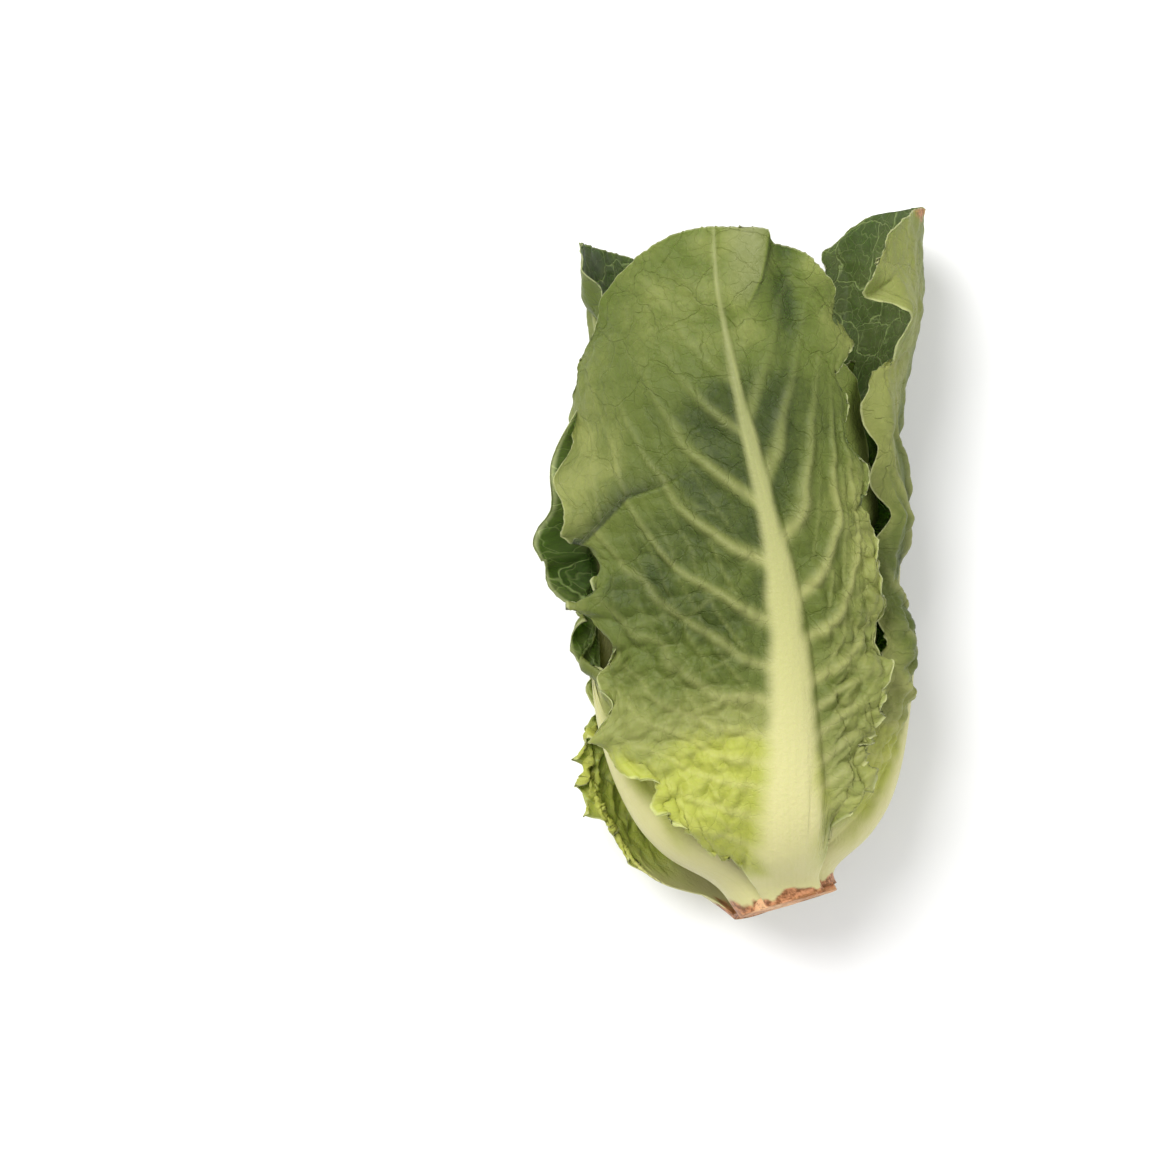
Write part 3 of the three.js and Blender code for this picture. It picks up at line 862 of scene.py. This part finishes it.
def leaf_material(name, greens, ribs, depth_inside):
    """Greens are the blade's colours at tone 0, 0.35, 0.7 and 1, and ribs the rib's at the foot, middle and
    tip. The inner face is darker by the share depth_inside."""
    material, tree = new_tree(name)
    tone, rib, vein, height = (value_of(tree, key) for key in ("tone", "rib", "vein", "height"))
    edge, inside, brown, shade = (value_of(tree, key) for key in ("edge", "inside", "brown", "shade"))
    place = add_node(tree, "ShaderNodeUVMap", {"uv_map": "place"}, {})
    warp = noise(tree, place, 9.0, 3.0, "Color")
    warped = add_node(tree, "ShaderNodeMix", {"data_type": "VECTOR"}, {0: 0.10, 4: place, 5: warp}, 1)
    broad, small = (
        add_node(tree, "ShaderNodeTexVoronoi", {"voronoi_dimensions": "2D", "feature": "DISTANCE_TO_EDGE"},
                 {"Vector": warped, "Scale": scale}, "Distance").smooth(0.0, border, 1.0, 0.0)
        for scale, border in ((8.0, 0.03), (27.0, 0.06)))
    grain, patch = noise(tree, place, 60.0, 6.0, Roughness=0.65), noise(tree, place, 7.0, 4.0)
    stretched = add_node(tree, "ShaderNodeVectorMath", {"operation": "MULTIPLY"},
                         {0: place, 1: (90.0, 6.0, 1.0)})
    streak = noise(tree, stretched, 1.0, 3.0)

    tone = tone + (patch - 0.5) * 0.22 + (grain - 0.5) * 0.16
    blade = blend(tree, tone.smooth(0.0, 0.35), greens[0], greens[1])
    blade = blend(tree, tone.smooth(0.35, 0.7), blade, greens[2])
    blade = blend(tree, tone.smooth(0.7, 1.0), blade, greens[3])
    lines = (broad * 0.5 + small * 0.22) * (1.0 - rib)
    dark_lines = lines * (1.0 - inside) * height.smooth(0.2, 0.5) * patch.smooth(0.4, 0.62) * 0.22
    blade = blend(tree, dark_lines, blade, greens[0])
    blade = blend(tree, inside * height.smooth(0.12, 0.5, 0.2, 1.0) * depth_inside, blade, DEEP_GREEN)
    blade = blend(tree, lines * inside * 0.95, blade, NET_GREEN)

    pale = blend(tree, height.smooth(0.08, 0.45), ribs[0], ribs[1])
    pale = blend(tree, height.smooth(0.35, 0.8), pale, ribs[2])
    blade = blend(tree, vein * height.smooth(0.1, 0.9, 0.75, 0.55), blade, pale)
    colour = blend(tree, rib * height.smooth(0.55, 1.0, 1.0, 0.75), blade, pale)
    colour = blend(tree, rib * streak.smooth(0.45, 0.7) * 0.12, colour, RIB_STREAK)
    # painted highlight: a thin pale line along every margin, where an edge would catch the light
    colour = blend(tree, edge.smooth(0.02, 0.08, 0.36, 0.0), colour, PAINTED_EDGE_HIGHLIGHT)
    colour = blend(tree, brown, colour, blend(tree, grain.smooth(0.35, 0.65), BROWN_DARK, BROWN_LIGHT))
    # painted shadow along the low side of the front leaf's folds, from the 'shade' attribute
    colour = blend(tree, shade, colour, FOLD_SHADE)

    roughness = 0.52 + (grain - 0.5) * 0.2 - rib * 0.1
    net_height = (broad * height.smooth(0.2, 0.5) + small * 0.5) * (1.0 - rib) * 0.32
    finish_material(tree, colour, roughness, grain * 0.5 - net_height + streak * rib * 0.12, 0.0005, {
        "Subsurface Weight": 0.12, "Subsurface Radius": (0.002, 0.003, 0.001), "Subsurface Scale": 1.0,
        "Specular IOR Level": 0.2})
    return material


def stem_material():
    """Cream flesh on the side and a browned, mottled cut end with dark specks."""
    material, tree = new_tree("stem_flesh")
    cut = value_of(tree, "cut")
    spot = add_node(tree, "ShaderNodeTexCoord", {}, {}, "Object")
    mottle = add_node(tree, "ShaderNodeTexNoise", {},
                      {"Vector": spot, "Scale": 330.0, "Detail": 6.0, "Roughness": 0.7})
    broad = add_node(tree, "ShaderNodeTexNoise", {}, {"Vector": spot, "Scale": 110.0, "Detail": 3.0})
    brown = blend(tree, broad.smooth(0.38, 0.62), srgb(224, 174, 128), srgb(184, 127, 86))
    brown = blend(tree, mottle.smooth(0.56, 0.72), brown, srgb(112, 62, 40))
    brown = blend(tree, mottle.smooth(0.40, 0.26), brown, srgb(240, 206, 164))
    colour = blend(tree, cut, srgb(226, 222, 176), brown)
    finish_material(tree, colour, 0.55, mottle, 0.0008, {
        "Specular IOR Level": 0.35, "Subsurface Weight": 0.1})
    return material


RIBS = (srgb(196, 191, 136), srgb(168, 167, 110), srgb(130, 134, 84))
SKINS = {
    "outer_leaf": leaf_material("outer_leaf_skin", (
        srgb(46, 58, 17), srgb(84, 95, 37), srgb(124, 129, 68), srgb(157, 162, 69)), RIBS, 0.68),
    "middle_leaf": leaf_material("middle_leaf_skin", (
        srgb(54, 68, 28), srgb(100, 114, 50), srgb(142, 154, 78), srgb(186, 194, 100)), RIBS, 0.4),
    "inner_leaf": leaf_material("inner_leaf_skin", (
        srgb(120, 134, 56), srgb(168, 180, 88), srgb(206, 210, 122), srgb(226, 224, 158)), RIBS, 0.12),
}
print("skins", list(SKINS))

# %% [markdown]
# ## The leaves
#
# The outer four get the finest grids, since the eye follows them. The inner ones show only at the tips.

# %% All leaves
triangles = 0
for leaf in LEAVES:
    piece = build_leaf(leaf, SKINS[leaf.slot])
    triangles += 2 * len(piece.data.polygons)
print("triangles in the leaves", triangles)

# %% [markdown]
# ## The stem
#
# Rings go from the middle of the cut end out to its rim, then up the side to the growing tip. A knife
# leaves the end nearly flat, and it dries uneven and brown, so its rings and the lowest ones are roughened.

# %% The stem
SIDES, FACE_RINGS, WALL_RINGS = 180, 26, 70
END_RADIUS = 14


def stem_rings():
    """Angle, radius, height and brownness of every ring: over the end the radius grows evenly, and up the
    side the height grows as the power 1.8 of the ring's share, so that most rings are near the cut."""
    angle = np.linspace(0, 2 * np.pi, SIDES, endpoint=False)[None, :]
    edge = 0.35 * np.sin(3 * angle + 1) + 0.25 * np.sin(7 * angle)
    share = np.linspace(0.02, 1, FACE_RINGS)[:, None]
    dents = rough(share * END_RADIUS * np.cos(angle), share * END_RADIUS * np.sin(angle), 5, 101)
    s = STEM.height * np.linspace(0, 1, WALL_RINGS + 1)[1:, None] ** 1.8
    knobs = rough(END_RADIUS * np.cos(angle) + 0 * s, END_RADIUS * np.sin(angle) + s, 4, 102)
    offset = lerp(edge + 0.5, -0.5, smooth(s, 1.6, 4.2)) + 0.5 * knobs
    wall = stem_radius(s) + offset * np.minimum(1, (STEM.height - s) / 6 + 0.3)
    radius = np.concatenate([share * (stem_radius(0.0) + edge - 0.3), wall])
    height = np.concatenate([0.4 * (1 - share) + 0.55 * dents + 0.2, s + 0 * angle])
    turned = np.broadcast_to(angle, height.shape)
    streaks = rough(END_RADIUS * np.cos(turned), END_RADIUS * np.sin(turned) + s[0], 5, 103)
    return turned, radius, height, 1 - smooth(height + 2.6 * streaks, 3.6, 4.8)


def build_stem():
    """The rings joined by triangles, with a point in the middle of the cut and one at the growing tip."""
    angle, radius, height, browned = stem_rings()
    ends = to_part(np.zeros(2), np.zeros(2), np.array([0.5, STEM.height + 0.5]))
    points = np.concatenate([to_part(angle, radius, height).reshape(-1, 3), ends])
    middle, growing_tip, top = len(points) - 2, len(points) - 1, (FACE_RINGS + WALL_RINGS - 1) * SIDES
    i, j = np.arange(FACE_RINGS + WALL_RINGS - 1)[:, None] * SIDES, np.arange(SIDES)[None, :]
    k = (j + 1) % SIDES
    squares = np.stack([i + j, i + k, i + SIDES + k, i + SIDES + j], axis=-1).reshape(-1, 4)[:, ::-1]
    j, k = j.ravel(), k.ravel()
    first = np.stack([j * 0 + middle, j, k], axis=1)[:, ::-1]
    last = np.stack([j * 0 + growing_tip, top + k, top + j], axis=1)[:, ::-1]
    corners = np.concatenate([squares[:, [0, 1, 2]], squares[:, [0, 2, 3]], first, last])
    cut = np.concatenate([browned.ravel(), [1.0, 0.0]])
    piece = make_mesh("fine_stem", points, corners, {"cut": cut}, points[:, :2] / 100, stem_material())
    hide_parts("stem")
    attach(piece, "root")
    return piece


stem = build_stem()
print("stem triangles", len(stem.data.polygons))

# %% [markdown]
# ## The table, the light and the camera
#
# The heart is seen from straight above in soft daylight. One large lamp high on the left gives its folds
# their form, a weaker one opens the shadows, and the room is white. A long lens keeps the tall middle of
# the heart from looking larger than its sides.

# %% Table, lamps and camera
def add_lamp(name, place, size, power, target=(0.0, 0.0, 0.03)):
    """A round lamp at a place in metres that looks at the target."""
    data = bpy.data.lights.new(name, "AREA")
    data.shape, data.size, data.energy = "DISK", size, power
    lamp = bpy.data.objects.new(name, data)
    lamp.location = place
    lamp.rotation_euler = (Vector(target) - Vector(place)).to_track_quat("-Z", "Y").to_euler()
    bpy.context.scene.collection.objects.link(lamp)


def build_table():
    mesh = bpy.data.meshes.new("table_top")
    mesh.from_pydata([(-3, -3, 0), (3, -3, 0), (3, 3, 0), (-3, 3, 0)], [], [(0, 1, 2, 3)])
    table = bpy.data.objects.new("table_top", mesh)
    bpy.context.scene.collection.objects.link(table)
    material, tree = new_tree("table_white")
    surface = add_node(tree, "ShaderNodeBsdfPrincipled", {},
                       {"Base Color": (0.9, 0.9, 0.9, 1), "Roughness": 0.8})
    add_node(tree, "ShaderNodeOutputMaterial", {}, {"Surface": surface})
    mesh.materials.append(material)


def build_room(brightness):
    world = bpy.data.worlds.new("room")
    bpy.context.scene.world = world
    world.use_nodes = True
    background = world.node_tree.nodes["Background"]
    background.inputs[0].default_value = (1, 1, 1, 1)
    background.inputs[1].default_value = brightness


build_table()
add_lamp("key", (-0.5, 0.5, 1.0), 0.8, 18)
add_lamp("fill", (0.8, -0.2, 0.8), 0.9, 5)
build_room(0.58)

# The camera's picture is 337 mm wide at a height of 45 mm, and the heart lies right of its middle.
VIEW_CENTRE, VIEW_WIDTH, VIEW_HEIGHT = (-0.0433, -0.0046), 0.337, 0.045
SENSOR_MM, LENS_MM = 36, 100
lens = bpy.data.cameras.new("camera")
lens.lens, lens.clip_end = LENS_MM, 10
camera = bpy.data.objects.new("camera", lens)
camera.location = (*VIEW_CENTRE, VIEW_HEIGHT + VIEW_WIDTH / SENSOR_MM * LENS_MM)
bpy.context.scene.collection.objects.link(camera)
bpy.context.scene.camera = camera
bpy.context.scene.view_settings.view_transform = "Standard"
print("the camera stands", round(camera.location.z, 3), "m above the table")
